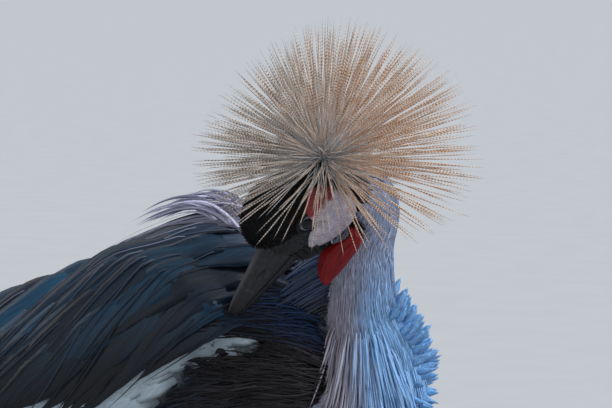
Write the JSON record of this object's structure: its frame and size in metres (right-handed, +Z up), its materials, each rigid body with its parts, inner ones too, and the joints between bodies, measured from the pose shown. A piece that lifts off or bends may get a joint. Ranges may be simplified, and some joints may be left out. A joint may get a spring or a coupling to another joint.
{
  "type": "grey crowned crane model",
  "caption": "Standing long-legged crane with its head turned over one shoulder, a round crown of stiff bristles, a hanging throat pouch, folded wings, tail and spread toes.",
  "frame": {"origin": "middle of the whole outline seen from above, on the plane the feet stand on", "axes": "+X the way the body faces, +Y to the bird's left, +Z up"},
  "size_m": [0.6436, 0.2996, 0.7257],
  "materials": {
    "slate_feathers": "matt grey feathers with a slight sheen",
    "white_coverts": "smooth white feathers",
    "chestnut_feathers": "dark chestnut flight feathers",
    "black_feathers": "glossy black flight and tail feathers",
    "grey_neck_feathers": "fine pale blue-grey feathers",
    "velvet_feathers": "dense short black feathers like velvet",
    "eye": "wet pale grey iris with a dark pupil",
    "bill": "dark grey horn, satin",
    "bare_cheek": "bare pale skin, red along its upper edge",
    "crown_bristles": "stiff straw-coloured bristles with dark tips",
    "wattle": "bare folded crimson skin",
    "leg_scales": "black scaly skin",
    "claw": "polished black horn"
  },
  "bodies": {
    "root": {"bill_lower": "bill", "bill_upper": "bill", "cheek_left": "bare_cheek", "cheek_right": "bare_cheek", "claw_left_hind": "claw", "claw_left_inner": "claw", "claw_left_middle": "claw", "claw_left_outer": "claw", "claw_right_hind": "claw", "claw_right_inner": "claw", "claw_right_middle": "claw", "claw_right_outer": "claw", "crown": "crown_bristles", "eye_left": "eye", "eye_right": "eye", "foot_left": "leg_scales", "foot_right": "leg_scales", "head": "velvet_feathers", "hock_left": "leg_scales", "hock_right": "leg_scales", "neck_lower": "grey_neck_feathers", "neck_middle": "grey_neck_feathers", "neck_upper": "grey_neck_feathers", "shank_left": "leg_scales", "shank_right": "leg_scales", "tail": "black_feathers", "tarsus_left": "leg_scales", "tarsus_right": "leg_scales", "thigh_left": "slate_feathers", "thigh_right": "slate_feathers", "torso": "slate_feathers", "wattle": "wattle", "wing_left_arm": "white_coverts", "wing_left_primaries": "black_feathers", "wing_left_secondaries": "chestnut_feathers", "wing_right_arm": "white_coverts", "wing_right_primaries": "black_feathers", "wing_right_secondaries": "chestnut_feathers"}
  },
  "joints": []
}
